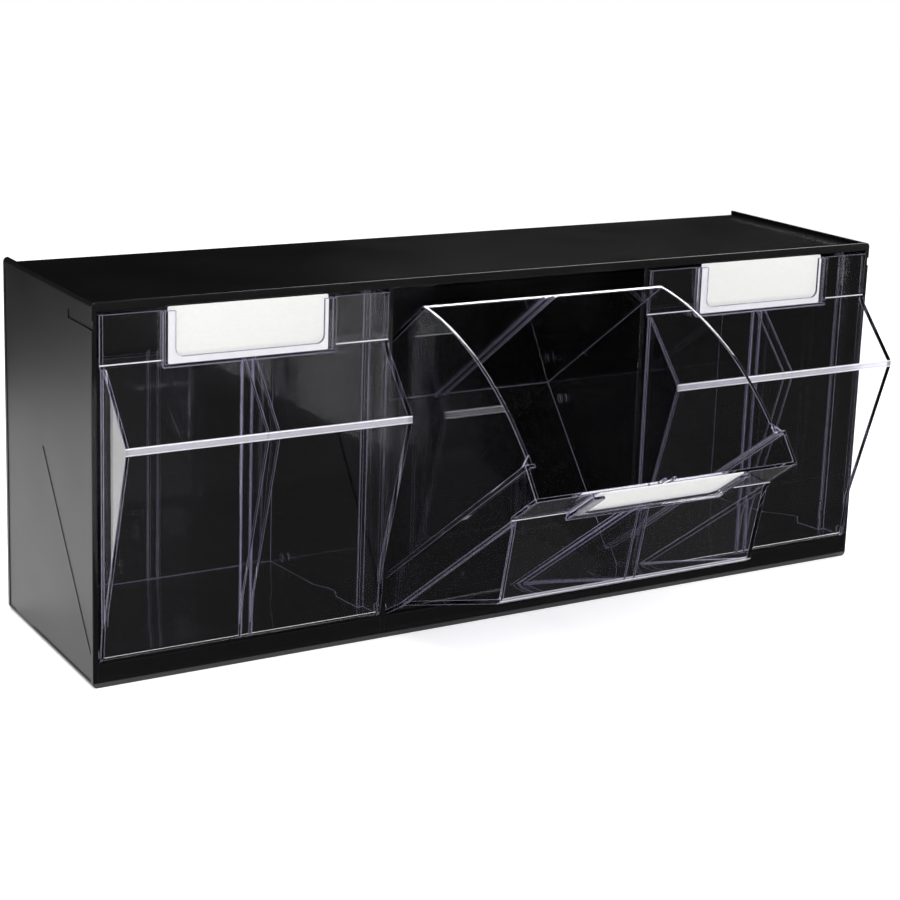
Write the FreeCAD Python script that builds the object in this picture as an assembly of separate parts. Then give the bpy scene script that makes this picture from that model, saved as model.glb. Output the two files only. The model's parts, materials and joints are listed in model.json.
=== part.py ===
import FreeCAD, Part
import math
import os

# A wall or bench unit of tilt-out bins: a black moulded housing and clear bins that tip forwards.
# Lengths are in millimetres and angles in degrees.
# Pieces are drawn with x from the left end, y (depth) back from the front edges and z (height)
# up from the base. Each one is then moved, so that the origin is the middle of the base.

# The compartments, from the left, and the one whose bin stands open
compartments = ("left", "middle", "right")
open_compartment = "middle"

# Housing
housing_width = 600.0
housing_depth = 158.0
housing_height = 240.0
end_wall = 3.6
divider_wall = 3.4
back_wall = 3.0
top_sink = 3.4
top_wall = 2.4
top_lip_wall = 3.0
bottom_wall = 3.0
bottom_height = 5.5
skirt_wall = 3.0
middle_rib_wall = 6.0
sill_setback = 1.5
sill_depth = 6.5
sill_gap = 0.5

# Outside of an end panel: a raised border round a sunk face, and the groove for a neighbour unit
panel_sink = 0.5
border_width = 3.5
top_band_height = 7.0
outer_round = 3.0
groove_drop = 11.1
groove_height = 5.6
groove_length = 40.0
groove_sink = 1.3
sector_rise = 0.35
sector_margin = 1.5

# Wall fixings through the back panel, one high up in each outer compartment
screw_hole_radius = 2.5
screw_top_distance = 30.0

# Bin, seen from the side and closed: a reach is how far a corner stands in front of the housing,
# and a drop is measured down from the corner above
side_gap = 1.0
bin_wall = 2.4
pivot_depth = 4.0
pivot_rise = 15.0
foot_radius = 5.3
bin_top_gap = 1.7
panel_reach = 1.5
crease_drop = 30.5
nose_reach = 38.5
nose_drop = 41.5
nose_edge_height = 4.0
knee_reach = 4.5
knee_rise = 26.5
band_depth = 22.0
side_inset = 4.5
cheek_inset = 1.5
cheek_line_reach = 3.5
bin_back_gap = 1.5
bin_floor_gap = 0.3
rim_drop = 1.5
rim_thickness = 2.2
rim_rear_width = 1.4
open_angle = 54.0

# Guides for a loose divider sheet, at the middle of a bin: bars, and webs that carry them
guide_gap = 5.4
guide_wall = 1.8
guide_height = 1.6
guide_depth = 2.2
guide_web_wall = 0.8

# Trunnions at the foot, and the pegs that end the travel
trunnion_radius = 3.0
trunnion_clearance = 0.07
trunnion_grip = 1.0
socket_spare = 0.3
peg_radius = 3.0
peg_back_gap = 18.5
peg_closed_angle = -2.1
peg_grip = 0.3
track_sink = 0.5
track_edge_gap = 3.0
track_start_angle = -9.0
stop_gap = 0.3

# Label window on the front of a bin, and its card
window_width = 116.0
window_reach = 3.5
window_wall = 1.6
slot_drop = 2.7
frame_wall = 2.0
frame_border = 8.5
frame_foot_rise = 2.3
frame_round = 5.0
card_thickness = 0.6
card_gap = 0.15
card_left_gap = 2.4
card_right_gap = 3.4
card_seat_gap = 0.3
card_stand = 2.1

# How far a cutting shape runs past the solid that it cuts
overrun = 5.0

full_turn = 360.0

# Sizes that follow from the ones above
bin_count = len(compartments)
inner_width = housing_width - 2 * end_wall
cell_width = (inner_width - (bin_count - 1) * divider_wall) / bin_count
cell_pitch = cell_width + divider_wall
bin_width = cell_width - 2 * side_gap
bin_back_depth = housing_depth - back_wall - bin_back_gap
bin_rear_height = bottom_height + bin_floor_gap
pivot_height = bottom_height + pivot_rise
top_underside_height = housing_height - top_sink - top_wall
bin_top_height = top_underside_height - bin_top_gap
crease_height = bin_top_height - crease_drop
nose_top_height = crease_height - nose_drop
knee_height = pivot_height + knee_rise
rim_radius = bin_top_height - rim_drop - pivot_height
trunnion_reach = side_gap + trunnion_grip
socket_depth = trunnion_grip + socket_spare
peg_reach = side_inset + side_gap + peg_grip
peg_path_radius = bin_back_depth - peg_back_gap - pivot_depth
track_radius = peg_path_radius + peg_radius + track_edge_gap
slot_width = window_width - 2 * window_wall
slot_floor_height = crease_height - slot_drop
pivot = (pivot_depth, pivot_height)


def line(start, end):
    """Straight edge in the plane x = 0 between two (depth, height) points."""
    return Part.LineSegment(FreeCAD.Vector(0, *start), FreeCAD.Vector(0, *end)).toShape()


def arc(start, through, end):
    """Round edge in the plane x = 0 through three (depth, height) points."""
    points = [FreeCAD.Vector(0, *place) for place in (start, through, end)]
    return Part.Arc(*points).toShape()


def polygon(corners):
    """Closed run of straight edges through the corners."""
    return [line(start, end) for start, end in zip(corners, corners[1:] + corners[:1])]


def prism(edges, x_start, x_end):
    """Solid between two values of x, with the edges as its outline."""
    face = Part.Face(Part.Wire(Part.__sortEdges__(edges)))
    face.translate(FreeCAD.Vector(x_start, 0, 0))
    return face.extrude(FreeCAD.Vector(x_end - x_start, 0, 0))


def block(x_span, depth_span, height_span):
    """Box between the given ends along each direction."""
    spans = (x_span, depth_span, height_span)
    size = [end - start for start, end in spans]
    return Part.makeBox(*size, FreeCAD.Vector(*[start for start, end in spans]))


def round_bar(x_start, x_end, centre, radius):
    """Cylinder along x about a (depth, height) centre."""
    base = FreeCAD.Vector(x_start, *centre)
    return Part.makeCylinder(radius, x_end - x_start, base, FreeCAD.Vector(1, 0, 0))


def about_pivot(radius, angle):
    """Place at a radius from the pivot, at an angle above the horizontal towards the back."""
    turn = math.radians(angle)
    return (pivot_depth + radius * math.cos(turn), pivot_height + radius * math.sin(turn))


def tangent_angle(place, side):
    """Angle at the pivot of the line from a place that just touches the foot's round."""
    depth, height = place[0] - pivot_depth, place[1] - pivot_height
    spread = math.acos(foot_radius / math.hypot(depth, height))
    return math.degrees(math.atan2(height, depth) + side * spread)


def moved_corner(before, corner, after, inset):
    """The corner, with both its edges moved inwards; the inside is on the left of the path."""
    normals = []
    for start, end in ((before, corner), (corner, after)):
        length = math.hypot(end[0] - start[0], end[1] - start[1])
        normals.append(((start[1] - end[1]) / length, (end[0] - start[0]) / length))
    (first_depth, first_height), (last_depth, last_height) = normals
    share = inset / (1 + first_depth * last_depth + first_height * last_height)
    return (corner[0] + share * (first_depth + last_depth),
            corner[1] + share * (first_height + last_height))


# Corners of a closed bin's front, from its top edge down to its foot
top_corner = (-panel_reach, bin_top_height)
crease_corner = (-panel_reach, crease_height)
nose_top_corner = (-nose_reach, nose_top_height)
nose_bottom_corner = (-nose_reach, nose_top_height - nose_edge_height)
knee_corner = (-knee_reach, knee_height)
rear_floor_corner = (bin_back_depth, bin_rear_height)
foot_front_angle = tangent_angle(knee_corner, 1)
foot_under_angle = tangent_angle(rear_floor_corner, -1)
floor_slope = math.radians(foot_under_angle + 90)


def floor_height(depth, lift):
    """Height of a bin's sloping floor at a depth, lifted square to itself."""
    run = rear_floor_corner[0] - depth
    return rear_floor_corner[1] - run * math.tan(floor_slope) + lift / math.cos(floor_slope)


def rim_height(depth, radius):
    """Height of an arc about the pivot, at a depth."""
    return pivot_height + math.sqrt(radius ** 2 - (depth - pivot_depth) ** 2)


def front_outline(inset, top, rear):
    """Outline of a bin's front part, moved inwards by the inset, up to a top and back to a rear."""
    path = [top_corner, crease_corner, nose_top_corner, nose_bottom_corner, knee_corner,
            about_pivot(foot_radius, foot_front_angle)]
    corners = [(top_corner[0] + inset, top)]
    for before, corner, after in zip(path, path[1:], path[2:]):
        corners.append(moved_corner(before, corner, after, inset))
    radius = foot_radius - inset
    middle_angle = (foot_front_angle + foot_under_angle + full_turn) / 2
    foot_front = about_pivot(radius, foot_front_angle)
    foot_under = about_pivot(radius, foot_under_angle)
    edges = [line(start, end) for start, end in zip(corners, corners[1:] + [foot_front])]
    edges.append(arc(foot_front, about_pivot(radius, middle_angle), foot_under))
    rear_floor = (rear, floor_height(rear, inset))
    edges.append(line(foot_under, rear_floor))
    edges.append(line(rear_floor, (rear, top)))
    edges.append(line((rear, top), corners[0]))
    return edges


def rear_outline(start):
    """Outline of a bin's rear part, with its round top, from a start depth to the back."""
    low_front = (start, floor_height(start, 0))
    high_front = (start, rim_height(start, rim_radius))
    high_rear = (bin_back_depth, rim_height(bin_back_depth, rim_radius))
    middle_depth = (start + bin_back_depth) / 2
    crown = (middle_depth, rim_height(middle_depth, rim_radius))
    return [line(low_front, rear_floor_corner), line(rear_floor_corner, high_rear),
            arc(high_rear, crown, high_front), line(high_front, low_front)]


def rear_room():
    """Hollow of a bin's narrower rear part, open at the top."""
    start = band_depth - bin_wall - overrun
    end = bin_back_depth - bin_wall
    above = bin_top_height + overrun
    corners = [(start, floor_height(start, bin_wall)), (end, floor_height(end, bin_wall)),
               (end, above), (start, above)]
    inset = side_inset + bin_wall
    return prism(polygon(corners), inset, bin_width - inset)


def front_room():
    """Hollow of a bin's front: full width in the band, narrower between the nose's cheeks."""
    edges = front_outline(bin_wall, bin_top_height + overrun, band_depth - bin_wall)
    inset = cheek_inset + bin_wall
    nose_room = prism(edges, inset, bin_width - inset)
    band_room = prism(edges, bin_wall, bin_width - bin_wall)
    limit = block((0, bin_width), (bin_wall - cheek_line_reach, band_depth),
                  (0, housing_height))
    return nose_room.fuse(band_room.common(limit))


def bin_outside():
    """Outer form of a bin: nose, full-width band and narrower rear part."""
    edges = front_outline(0, bin_top_height, band_depth)
    nose = prism(edges, cheek_inset, bin_width - cheek_inset)
    limit = block((0, bin_width), (-cheek_line_reach, band_depth), (0, housing_height))
    band = prism(edges, 0, bin_width).common(limit)
    start = band_depth - bin_wall
    rear = prism(rear_outline(start), side_inset, bin_width - side_inset)
    return nose.fuse([band, rear])


def rim():
    """Lip that stands out along the round top edges, wide at the band and narrow at the back."""
    start = band_depth - bin_wall
    end = bin_back_depth
    middle = (start + end) / 2
    low_radius = rim_radius - rim_thickness
    top = [(depth, rim_height(depth, rim_radius)) for depth in (start, middle, end)]
    under = [(depth, rim_height(depth, low_radius)) for depth in (end, middle, start)]
    ring = [arc(*top), line(top[-1], under[0]), arc(*under), line(under[-1], top[0])]
    taper = side_inset - rim_rear_width
    plan = [FreeCAD.Vector(x, depth, 0) for x, depth in
            ((0, start), (taper, end), (bin_width - taper, end), (bin_width, start), (0, start))]
    column = Part.Face(Part.makePolygon(plan)).extrude(FreeCAD.Vector(0, 0, housing_height))
    return prism(ring, 0, bin_width).common(column)


def window():
    """Raised label window, flush at its foot with the sloping panel."""
    slope = (crease_height - nose_top_height) / (nose_reach - panel_reach)
    front = -panel_reach - window_reach
    corners = [(front, bin_top_height), (front, crease_height - window_reach * slope),
               crease_corner, top_corner]
    middle = bin_width / 2
    return prism(polygon(corners), middle - window_width / 2, middle + window_width / 2)


def window_slot():
    """Slot behind the window for the card, open at the top."""
    left = (bin_width - slot_width) / 2
    return block((left, left + slot_width),
                 (frame_wall - panel_reach - window_reach, -panel_reach),
                 (slot_floor_height, bin_top_height + overrun))


def frame_opening():
    """Opening in the window's front that leaves a frame round the card, open at the top."""
    left = (bin_width - window_width) / 2 + frame_border
    foot = crease_height + frame_foot_rise
    opening = block((left, bin_width - left), (-panel_reach - window_reach - overrun, -panel_reach),
                    (foot, bin_top_height + overrun))
    chosen = []
    for edge in opening.Edges:
        box = edge.BoundBox
        if box.ZMax < foot + frame_round and box.YLength > window_reach:
            chosen.append(edge)
    return opening.makeFillet(frame_round, chosen)


def guide_bars():
    """Two pairs of upright guides for a divider sheet, straight behind the nose and at the back."""
    above = bin_top_height + overrun
    inner = bin_wall + guide_height - panel_reach
    nose = prism(front_outline(0, bin_top_height, band_depth), cheek_inset,
                 bin_width - cheek_inset)
    rear = prism(rear_outline(band_depth), side_inset, bin_width - side_inset)
    rear_face = bin_back_depth - bin_wall - guide_height
    bars = []
    for side in (-1, 1):
        middle = bin_width / 2 + side * (guide_gap + guide_wall) / 2
        for form, wall, front, back in ((nose, guide_wall, inner - guide_depth, inner),
                                        (nose, guide_web_wall, -nose_reach - overrun, inner),
                                        (rear, guide_wall, rear_face, bin_back_depth)):
            limit = block((middle - wall / 2, middle + wall / 2), (front, back), (0, above))
            bars.append(form.common(limit))
    return bars


def side_studs():
    """Trunnions at the foot and stop pegs near the back, on both sides of a bin."""
    peg = about_pivot(peg_path_radius, peg_closed_angle)
    peg_end = side_inset + bin_wall
    return [round_bar(-trunnion_reach, bin_wall, pivot, trunnion_radius),
            round_bar(bin_width - bin_wall, bin_width + trunnion_reach, pivot, trunnion_radius),
            round_bar(side_inset - peg_reach, peg_end, peg, peg_radius),
            round_bar(bin_width - peg_end, bin_width - side_inset + peg_reach, peg, peg_radius)]


def bin_shell():
    """One clear bin, closed, with its left side at x = 0."""
    shell = bin_outside().fuse([rim(), window()])
    shell = shell.cut([front_room(), rear_room()])
    shell = shell.fuse(guide_bars() + side_studs())
    return shell.cut([window_slot(), frame_opening()]).removeSplitter()


def label_card():
    """Card in the window's slot, pushed towards the slot's left side."""
    slot_left = (bin_width - slot_width) / 2
    face = -panel_reach - card_gap
    return block((slot_left + card_left_gap, slot_left + slot_width - card_right_gap),
                 (face - card_thickness, face),
                 (slot_floor_height + card_seat_gap, bin_top_height + card_stand))


def inner_span():
    """The two values of x between the end panels."""
    return (end_wall, housing_width - end_wall)


def top_panel():
    """Top, sunk below the lip along its front edge and the rails at its ends."""
    top_height = housing_height - top_sink
    corners = [(0, housing_height), (top_lip_wall, housing_height), (top_lip_wall, top_height),
               (housing_depth, top_height), (housing_depth, top_underside_height),
               (0, top_underside_height)]
    return prism(polygon(corners), *inner_span())


def bottom_panel():
    """Bottom, with a skirt and a middle rib below and a low sill under each bin's foot."""
    left, right = inner_span()
    panel = block((left, right), (0, housing_depth), (0, bottom_height))
    rib_left = (housing_width - middle_rib_wall) / 2
    hollows = [block(span, (skirt_wall, housing_depth - skirt_wall),
                     (0, bottom_height - bottom_wall))
               for span in ((left + skirt_wall, rib_left),
                            (rib_left + middle_rib_wall, right - skirt_wall))]
    sill_top = pivot_height - foot_radius - sill_gap
    sills = [block((cell_left(index), cell_left(index) + cell_width),
                   (sill_setback, sill_setback + sill_depth), (bottom_height, sill_top))
             for index in range(bin_count)]
    return panel.cut(hollows).fuse(sills).removeSplitter()


def back_panel():
    """Back, between the top and the bottom, with its two screw holes."""
    front = housing_depth - back_wall
    panel = block(inner_span(), (front, housing_depth), (bottom_height, top_underside_height))
    holes = []
    for index in (0, bin_count - 1):
        middle = cell_left(index) + cell_width / 2
        base = FreeCAD.Vector(middle, front - overrun, housing_height - screw_top_distance)
        holes.append(Part.makeCylinder(screw_hole_radius, back_wall + 2 * overrun, base,
                                       FreeCAD.Vector(0, 1, 0)))
    return panel.cut(holes)


def travel_sector(radius, x_start, x_end):
    """Sector about the pivot that a stop peg sweeps, ending where the peg meets its stop."""
    spare = math.degrees(math.asin((peg_radius + stop_gap) / peg_path_radius))
    end_angle = peg_closed_angle + open_angle + spare
    low = about_pivot(radius, track_start_angle)
    middle = about_pivot(radius, (track_start_angle + end_angle) / 2)
    high = about_pivot(radius, end_angle)
    return prism([line(pivot, low), arc(low, middle, high), line(high, pivot)], x_start, x_end)


def wall_relief(x_face, side):
    """What is cut from a wall's face: the peg's track and the trunnion's socket."""
    span = sorted((x_face, x_face - side * track_sink))
    above_floor = block((-overrun, housing_width + overrun), (0, housing_depth),
                        (bottom_height, housing_height))
    track = travel_sector(track_radius, *span).common(above_floor)
    span = sorted((x_face, x_face - side * socket_depth))
    return [track, round_bar(*span, pivot, trunnion_radius + trunnion_clearance)]


def divider():
    """Wall between two compartments, with its left face at x = 0."""
    rear = housing_depth - back_wall
    wall = block((0, divider_wall), (0, rear), (bottom_height, top_underside_height))
    return wall.cut(wall_relief(0, -1) + wall_relief(divider_wall, 1))


def end_groove():
    """Shallow groove, open at the front, that keys the unit to the one beside it."""
    groove_top = housing_height - groove_drop
    return block((0, groove_sink), (-overrun, groove_length),
                 (groove_top - groove_height, groove_top))


def end_panel():
    """Left end: a raised border, a sunk face with a raised sector, the groove and round edges."""
    panel = block((0, end_wall), (0, housing_depth), (0, housing_height))
    sunk = block((0, panel_sink), (border_width, housing_depth - border_width),
                 (border_width, housing_height - top_band_height))
    raised = travel_sector(track_radius + sector_margin, panel_sink - sector_rise, panel_sink)
    panel = panel.cut(sunk).fuse(raised.common(sunk))
    panel = panel.cut([end_groove()] + wall_relief(end_wall, 1)).removeSplitter()
    return round_long_edges(panel)


def round_long_edges(panel):
    """The end panel, with a round along its outer top and bottom edges."""
    chosen = []
    for edge in panel.Edges:
        box = edge.BoundBox
        outer = box.XMax < panel_sink / 2
        at_end = box.ZMax < panel_sink / 2 or box.ZMin > housing_height - panel_sink / 2
        if outer and at_end and box.YLength > housing_depth / 2:
            chosen.append(edge)
    return panel.makeFillet(outer_round, chosen)


def cell_left(index):
    """Where a compartment starts, counted from the left."""
    return end_wall + index * cell_pitch


def placed(shape, x_shift=0.0):
    """The shape moved along x, then into the frame whose origin is the middle of the base."""
    result = shape.copy()
    result.translate(FreeCAD.Vector(x_shift - housing_width / 2, -housing_depth / 2, 0))
    return result


def tipped(shape):
    """The shape turned forwards about the pivot, as far as the bin opens."""
    result = shape.copy()
    result.rotate(FreeCAD.Vector(0, *pivot), FreeCAD.Vector(1, 0, 0), open_angle)
    return result


def housing_pieces():
    """The walls of the housing, by name."""
    pieces = {
        "housing_top_panel": placed(top_panel()),
        "housing_bottom_panel": placed(bottom_panel()),
        "housing_back_panel": placed(back_panel()),
        "left_end_panel": placed(end_panel()),
    }
    middle_plane = FreeCAD.Vector(0, 0, 0), FreeCAD.Vector(1, 0, 0)
    pieces["right_end_panel"] = pieces["left_end_panel"].mirror(*middle_plane)
    for index, side in enumerate(("left", "right")):
        pieces[side + "_divider"] = placed(divider(), cell_left(index) + cell_width)
    return pieces


def bin_pieces():
    """The bins and their cards, by name, with one bin tipped open."""
    pieces = {}
    shell = bin_shell()
    card = label_card()
    for index, side in enumerate(compartments):
        x_shift = cell_left(index) + side_gap
        for name, shape in (("bin_" + side, shell), ("label_card_" + side, card)):
            pieces[name] = placed(tipped(shape) if side == open_compartment else shape, x_shift)
    return pieces


def main():
    """Build every piece and write it to its own file."""
    os.makedirs("parts", exist_ok=True)
    for name, shape in {**housing_pieces(), **bin_pieces()}.items():
        shape.exportStep("parts/" + name + ".step")
        box = shape.BoundBox
        size = [round(length, 1) for length in (box.XLength, box.YLength, box.ZLength)]
        print(name, "solids", len(shape.Solids), "valid", shape.isValid(), "size", size)


main()
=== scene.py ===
"""Tilt-out bin unit for a wall or bench: a black housing, clear bins and their label cards.

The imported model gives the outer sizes, places and pivots. Pieces are drawn in millimetres, with x
from the left end, depth back from the front edges and height up from the base, and are then moved
into the model's own frame.
"""

import json
import logging
import math
from contextlib import contextmanager
from dataclasses import dataclass
from enum import Enum, IntEnum
from typing import Callable, Iterator, Sequence

import bmesh
import bpy
from mathutils import Color, Matrix, Vector


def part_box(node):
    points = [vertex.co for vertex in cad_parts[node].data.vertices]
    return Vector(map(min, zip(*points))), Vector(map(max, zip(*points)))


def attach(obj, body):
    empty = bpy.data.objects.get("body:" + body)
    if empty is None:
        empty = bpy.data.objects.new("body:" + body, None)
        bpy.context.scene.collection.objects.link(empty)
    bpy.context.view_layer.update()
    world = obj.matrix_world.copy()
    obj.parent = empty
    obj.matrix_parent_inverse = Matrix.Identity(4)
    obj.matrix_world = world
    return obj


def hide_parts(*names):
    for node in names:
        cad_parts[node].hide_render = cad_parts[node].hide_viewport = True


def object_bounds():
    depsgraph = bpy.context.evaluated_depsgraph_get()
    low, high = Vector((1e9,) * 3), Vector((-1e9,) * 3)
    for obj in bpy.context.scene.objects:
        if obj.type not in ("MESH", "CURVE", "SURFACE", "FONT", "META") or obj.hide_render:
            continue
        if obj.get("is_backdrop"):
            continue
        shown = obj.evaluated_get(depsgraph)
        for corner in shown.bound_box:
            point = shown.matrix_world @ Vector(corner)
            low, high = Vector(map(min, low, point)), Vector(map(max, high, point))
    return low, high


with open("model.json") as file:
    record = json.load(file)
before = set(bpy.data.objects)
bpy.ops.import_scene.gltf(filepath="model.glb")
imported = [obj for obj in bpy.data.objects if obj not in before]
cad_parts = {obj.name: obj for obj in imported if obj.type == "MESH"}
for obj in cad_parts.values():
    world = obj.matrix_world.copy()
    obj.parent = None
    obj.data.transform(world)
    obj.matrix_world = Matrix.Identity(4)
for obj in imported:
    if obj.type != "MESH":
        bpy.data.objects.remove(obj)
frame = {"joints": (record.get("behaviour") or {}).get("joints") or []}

LOG = logging.getLogger("tilt_out_bins")
MM = 0.001
# Points closer than this, in millimetres, are one point
SAME_POINT = 0.002
# How far a cutting shape runs past what it cuts, in millimetres
OVERRUN = 5.0
# How deep a joined shape reaches into the wall that carries it, in millimetres
ROOT = 1.2
# Degrees by which two faces may differ and still be one, where slight turns have to stay
NEARLY_FLAT = 0.05
# Least share of x in the normal of a face that looks along x, and of a round that leans from it
FACING = 0.9
LEANING = 0.5
# Divides rays that nothing has mirrored yet from those that were mirrored once or more
HALF_A_BOUNCE = 0.5
# The largest value of a byte, in a hex colour
BYTE = 255
# Numbers of a mix node's sockets for colours: two inputs and the output
FIRST_COLOUR, SECOND_COLOUR, MIXED_COLOUR = 6, 7, 2

Material = bpy.types.Material
Object = bpy.types.Object
Socket = bpy.types.NodeSocket
Tree = bpy.types.NodeTree
Spot = tuple[float, float]
Corner = tuple[float, float, float]


class Side(Enum):
    """The compartments, from the left."""

    LEFT = "left"
    MIDDLE = "middle"
    RIGHT = "right"


class Join(Enum):
    """What a tool shape does to the piece that it meets."""

    CUT = "DIFFERENCE"
    ADD = "UNION"


class Axis(Enum):
    """Which way a round bar lies, as the turn that lays it down from upright."""

    ACROSS = (0.0, math.pi / 2, 0.0)
    BACK = (math.pi / 2, 0.0, 0.0)


class Slot(IntEnum):
    """The material slots of a bin, in order."""

    CLEAR = 0
    EDGE = 1
    # Painted highlight on the nose and crease rounds, and painted light on the nose's flat band
    RUBBED = 2
    BAND = 3


@dataclass(frozen=True)
class Bend:
    """A round stretch of an outline: the centre that it turns about, and its end."""

    centre: Spot
    end: Spot


# Bench work


def pick(*pieces: Object) -> None:
    """Select only the given pieces and make the first one active."""
    bpy.ops.object.select_all(action="DESELECT")
    for piece in pieces:
        piece.select_set(True)
    bpy.context.view_layer.objects.active = pieces[0]


@contextmanager
def editing(piece: Object, mode: str = "VERT", action: str = "SELECT") -> Iterator[None]:
    """Keep a piece in edit mode.

    Args:
        piece: The piece to edit.
        mode: Whether vertices, edges or faces are selected.
        action: What is done to all of them at first.
    """
    pick(piece)
    bpy.ops.object.mode_set(mode="EDIT")
    bpy.ops.mesh.select_mode(type=mode)
    bpy.ops.mesh.select_all(action=action)
    yield
    bpy.ops.object.mode_set(mode="OBJECT")


def select_faces(piece: Object, test: Callable[[Vector, Vector], bool]) -> None:
    """Select the faces that pass a test, in edit mode.

    Args:
        piece: The piece in edit mode.
        test: Takes a face's middle, in millimetres, and its normal.
    """
    mesh = bmesh.from_edit_mesh(piece.data)
    mesh.normal_update()
    for face in mesh.faces:
        face.select_set(test(face.calc_center_bounds() / MM, face.normal))
    bmesh.update_edit_mesh(piece.data)


def round_edges(piece: Object, radius: float, steps: int,
                test: Callable[[Vector, Vector], bool]) -> None:
    """Round the edges that pass a test.

    Args:
        piece: The piece to round.
        radius: Radius in millimetres.
        steps: Number of flat strips in a round.
        test: Takes an edge's two ends, in millimetres.
    """
    with editing(piece, "EDGE", "DESELECT"):
        mesh = bmesh.from_edit_mesh(piece.data)
        for edge in mesh.edges:
            edge.select_set(test(*(point.co / MM for point in edge.verts)))
        bmesh.update_edit_mesh(piece.data)
        bpy.ops.mesh.bevel(offset=radius * MM, segments=steps, affect="EDGES")


def fixed(name: str, place: Vector, turn: Corner = (0.0, 0.0, 0.0)) -> Object:
    """Name the new object, and fix its mesh at a place in metres, turned about its middle."""
    piece = bpy.context.object
    piece.name = name
    piece.rotation_euler = turn
    piece.location = place
    bpy.ops.object.transform_apply(location=True, rotation=True, scale=True)
    return piece


def block(name: str, low: Corner, high: Corner) -> Object:
    """Add a box between its lowest and highest corner, in millimetres."""
    bpy.ops.object.select_all(action="DESELECT")
    bpy.ops.mesh.primitive_cube_add(size=1)
    bpy.context.object.scale = (Vector(high) - Vector(low)) * MM
    return fixed(name, (Vector(low) + Vector(high)) * MM / 2)


def round_bar(name: str, span: Spot, centre: Spot, radius: float, axis: Axis = Axis.ACROSS,
              sides: int = 48) -> Object:
    """Add a round bar.

    Args:
        name: Name of the new object.
        span: The two values of x or depth where it ends.
        centre: The place of its axis in the two other directions.
        radius: Radius in millimetres.
        axis: Which way it lies.
        sides: Number of flat sides.

    Returns:
        A closed solid.
    """
    bpy.ops.object.select_all(action="DESELECT")
    bpy.ops.mesh.primitive_cylinder_add(vertices=sides, radius=radius * MM,
                                        depth=(span[1] - span[0]) * MM)
    middle = (span[0] + span[1]) / 2
    place = (middle, *centre) if axis is Axis.ACROSS else (centre[0], middle, centre[1])
    return fixed(name, Vector(place) * MM, axis.value)


def draw_bend(start: Spot, bend: Bend, x: float, finest: float = 3.0) -> None:
    """Sweep the selected point round a bend.

    Args:
        start: Where the point is.
        bend: The centre and the end.
        x: The plane of the outline, in millimetres.
        finest: Degrees to one step of the bend.
    """
    angles = [math.atan2(spot[1] - bend.centre[1], spot[0] - bend.centre[0])
              for spot in (start, bend.end)]
    turn = math.remainder(angles[1] - angles[0], math.tau)
    steps = max(2, round(abs(math.degrees(turn)) / finest))
    # With no window, spin turns the other way round its axis
    bpy.ops.mesh.spin(steps=steps, angle=-turn, axis=(1, 0, 0),
                      center=Vector((x, *bend.centre)) * MM)


def profile(name: str, path: Sequence[Spot | Bend], span: Spot) -> Object:
    """Draw a closed side outline point by point, fill it and pull it along x.

    Args:
        name: Name of the new object.
        path: Corners as (depth, height) and bends, in order. The first entry is a corner.
        span: The two values of x.

    Returns:
        A closed solid.
    """
    bpy.ops.object.select_all(action="DESELECT")
    bpy.ops.mesh.primitive_plane_add(size=MM)
    piece = fixed(name, Vector((span[0], *path[0])) * MM)
    here = path[0]
    with editing(piece):
        bpy.ops.mesh.merge(type="CENTER")
        for stroke in (*path[1:], path[0]):
            if isinstance(stroke, Bend):
                draw_bend(here, stroke, span[0])
                here = stroke.end
                continue
            step = Vector((0, stroke[0] - here[0], stroke[1] - here[1])) * MM
            bpy.ops.mesh.extrude_region_move(TRANSFORM_OT_translate={"value": step})
            here = stroke
        bpy.ops.mesh.select_all(action="SELECT")
        bpy.ops.mesh.remove_doubles(threshold=SAME_POINT * MM)
        bpy.ops.mesh.edge_face_add()
        step = Vector((span[1] - span[0], 0, 0)) * MM
        bpy.ops.mesh.extrude_region_move(TRANSFORM_OT_translate={"value": step})
        bpy.ops.mesh.select_all(action="SELECT")
        bpy.ops.mesh.normals_make_consistent(inside=False)
    return piece


def slice_off(piece: Object, place: Corner, outwards: Corner, keep_all: bool = False) -> None:
    """Saw a piece along a plane.

    Args:
        piece: The piece to saw.
        place: A point of the plane, in millimetres.
        outwards: The plane's normal, towards what falls off.
        keep_all: Only mark the cut, and let nothing fall off.
    """
    with editing(piece):
        bpy.ops.mesh.bisect(plane_co=Vector(place) * MM, plane_no=outwards,
                            clear_outer=not keep_all, use_fill=not keep_all,
                            threshold=SAME_POINT * MM)


def modify(piece: Object, kind: str, **settings: object) -> None:
    """Add a modifier with its settings and apply it."""
    pick(piece)
    bpy.ops.object.modifier_add(type=kind)
    modifier = piece.modifiers[-1]
    for name, value in settings.items():
        setattr(modifier, name, value)
    bpy.ops.object.modifier_apply(modifier=modifier.name)


def cleaned(piece: Object, flat: float = 0.3) -> None:
    """Merge doubled points and dissolve the lines inside flat faces.

    Args:
        piece: The piece to clean.
        flat: Degrees that two faces may differ by and still be one.
    """
    with editing(piece):
        bpy.ops.mesh.remove_doubles(threshold=SAME_POINT * MM)
        bpy.ops.mesh.dissolve_degenerate(threshold=SAME_POINT * MM)
        bpy.ops.mesh.dissolve_limited(angle_limit=math.radians(flat))


def combine(piece: Object, tool: Object, how: Join) -> None:
    """Cut a tool out of a piece, or add it to the piece, and throw the tool away."""
    modify(piece, "BOOLEAN", operation=how.value, solver="EXACT", object=tool)
    bpy.data.objects.remove(tool, do_unlink=True)
    # Each cut or join leaves doubled points, and the next is the same each run only without them
    cleaned(piece, NEARLY_FLAT)


def joined(name: str, pieces: Sequence[Object]) -> Object:
    """Join pieces that don't overlap into one object with a new name."""
    pick(*pieces)
    bpy.ops.object.join()
    pieces[0].name = name
    return pieces[0]


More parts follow.
